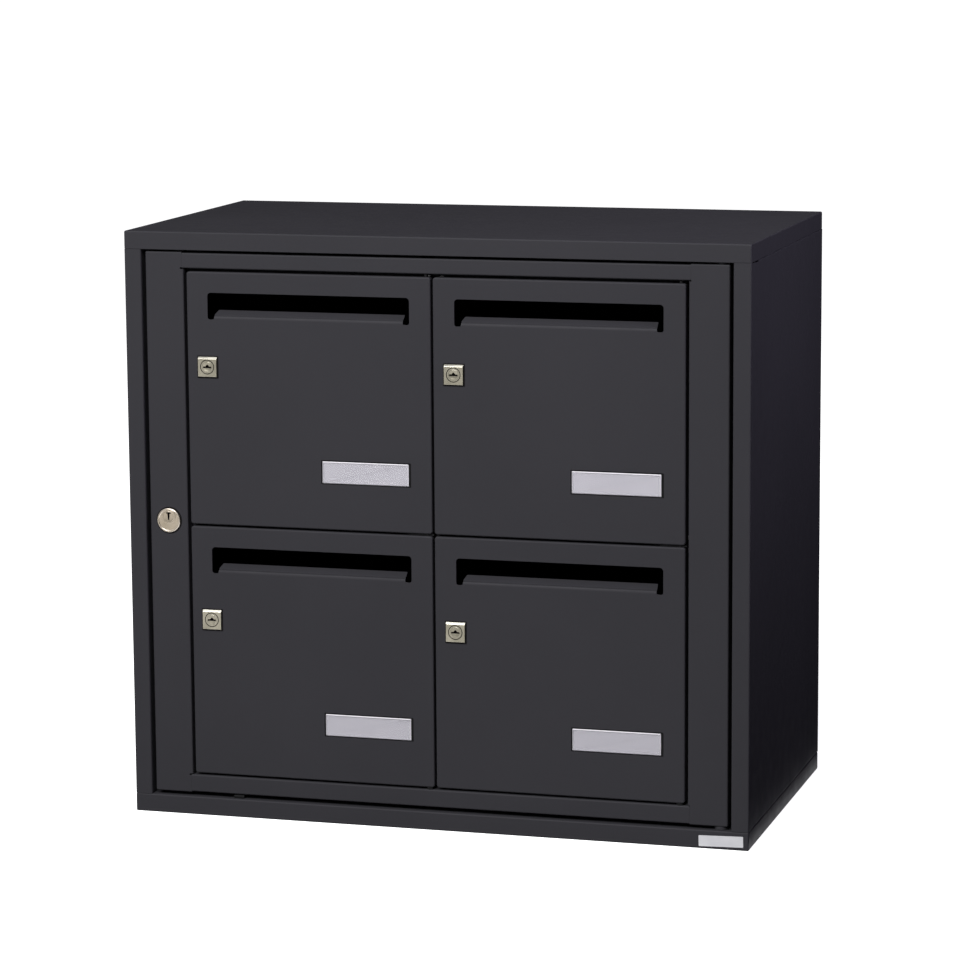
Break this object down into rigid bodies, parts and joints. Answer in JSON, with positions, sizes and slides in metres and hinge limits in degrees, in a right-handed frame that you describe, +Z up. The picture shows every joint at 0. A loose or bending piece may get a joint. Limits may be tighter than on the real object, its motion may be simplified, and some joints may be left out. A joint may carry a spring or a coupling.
{
  "type": "cluster mailbox unit",
  "caption": "Wall or stand mounted letterbox block: lockable sheet-steel compartments with slotted doors in one hinged, lockable collective front.",
  "frame": {"origin": "on the ground plane under the middle of the cabinet's width and depth", "axes": "+X to the right seen from the front, +Y to the back, +Z up; the doors face -Y"},
  "size_m": [0.7, 0.3852, 0.6515],
  "materials": {
    "paint": "satin anthracite powder coat, fine texture",
    "zinc": "bright zinc plating",
    "nickel": "satin nickel plating, slightly warm",
    "black_plastic": "matt moulded plastic",
    "card": "plain white card",
    "clear_plastic": "clear acrylic with bevelled edges",
    "silver_label": "bare silver foil"
  },
  "bodies": {
    "cabinet": {"top_panel": "paint", "base_panel": "paint", "left_side_panel": "paint", "right_side_panel": "paint", "back_panel": "paint", "centre_partition": "paint", "left_shelf": "paint", "right_shelf": "paint", "shelf_rivets": "zinc", "collective_hinge_pins": "zinc", "collective_hinge_bushes": "paint", "glide_pad": "black_plastic", "blank_plate": "silver_label"},
    "collective_door": {"left_stile": "paint", "right_stile": "paint", "top_rail": "paint", "bottom_rail": "paint", "centre_mullion": "paint", "centre_transoms": "paint", "door_pivot_brackets": "paint", "door_pivot_pins": "paint", "door_pivot_washers": "black_plastic", "frame_rivets": "zinc", "master_lock_body": "nickel", "master_lock_nut": "zinc"},
    "master_lock": {"master_lock_plug": "nickel", "master_lock_cam": "zinc"},
    "upper_left_door": {"upper_left_door_panel": "paint", "upper_left_lock_body": "nickel", "upper_left_lock_nut": "zinc", "upper_left_label_holder": "black_plastic", "upper_left_label_card": "card", "upper_left_label_window": "clear_plastic"},
    "upper_left_lock": {"upper_left_lock_plug": "nickel", "upper_left_lock_cam": "zinc"},
    "upper_right_door": {"upper_right_door_panel": "paint", "upper_right_lock_body": "nickel", "upper_right_lock_nut": "zinc", "upper_right_label_holder": "black_plastic", "upper_right_label_card": "card", "upper_right_label_window": "clear_plastic"},
    "upper_right_lock": {"upper_right_lock_plug": "nickel", "upper_right_lock_cam": "zinc"},
    "lower_left_door": {"lower_left_door_panel": "paint", "lower_left_lock_body": "nickel", "lower_left_lock_nut": "zinc", "lower_left_label_holder": "black_plastic", "lower_left_label_card": "card", "lower_left_label_window": "clear_plastic"},
    "lower_left_lock": {"lower_left_lock_plug": "nickel", "lower_left_lock_cam": "zinc"},
    "lower_right_door": {"lower_right_door_panel": "paint", "lower_right_lock_body": "nickel", "lower_right_lock_nut": "zinc", "lower_right_label_holder": "black_plastic", "lower_right_label_card": "card", "lower_right_label_window": "clear_plastic"},
    "lower_right_lock": {"lower_right_lock_plug": "nickel", "lower_right_lock_cam": "zinc"}
  },
  "joints": [
    {"name": "collective_door_hinge", "type": "hinge", "parent": "cabinet", "child": "collective_door", "pos_m": [0.318, -0.1819, 0.326], "axis": [0, 0, 1], "range_deg": [0, 105]},
    {"name": "master_lock_turn", "type": "hinge", "parent": "collective_door", "child": "master_lock", "pos_m": [-0.3045, -0.1899, 0.336], "axis": [0, 1, 0], "range_deg": [0, 90]},
    {"name": "upper_left_door_hinge", "type": "hinge", "parent": "collective_door", "child": "upper_left_door", "pos_m": [-0.0072, -0.1854, 0.4685], "axis": [0, 0, 1], "range_deg": [0, 110]},
    {"name": "upper_left_lock_turn", "type": "hinge", "parent": "upper_left_door", "child": "upper_left_lock", "pos_m": [-0.2559, -0.1899, 0.504], "axis": [0, 1, 0], "range_deg": [0, 90]},
    {"name": "upper_right_door_hinge", "type": "hinge", "parent": "collective_door", "child": "upper_right_door", "pos_m": [0.2732, -0.1854, 0.4685], "axis": [0, 0, 1], "range_deg": [0, 110]},
    {"name": "upper_right_lock_turn", "type": "hinge", "parent": "upper_right_door", "child": "upper_right_lock", "pos_m": [0.0245, -0.1899, 0.504], "axis": [0, 1, 0], "range_deg": [0, 90]},
    {"name": "lower_left_door_hinge", "type": "hinge", "parent": "collective_door", "child": "lower_left_door", "pos_m": [-0.0072, -0.1854, 0.187], "axis": [0, 0, 1], "range_deg": [0, 110]},
    {"name": "lower_left_lock_turn", "type": "hinge", "parent": "lower_left_door", "child": "lower_left_lock", "pos_m": [-0.2559, -0.1899, 0.2225], "axis": [0, 1, 0], "range_deg": [0, 90]},
    {"name": "lower_right_door_hinge", "type": "hinge", "parent": "collective_door", "child": "lower_right_door", "pos_m": [0.2732, -0.1854, 0.187], "axis": [0, 0, 1], "range_deg": [0, 110]},
    {"name": "lower_right_lock_turn", "type": "hinge", "parent": "lower_right_door", "child": "lower_right_lock", "pos_m": [0.0245, -0.1899, 0.2225], "axis": [0, 1, 0], "range_deg": [0, 90]}
  ]
}
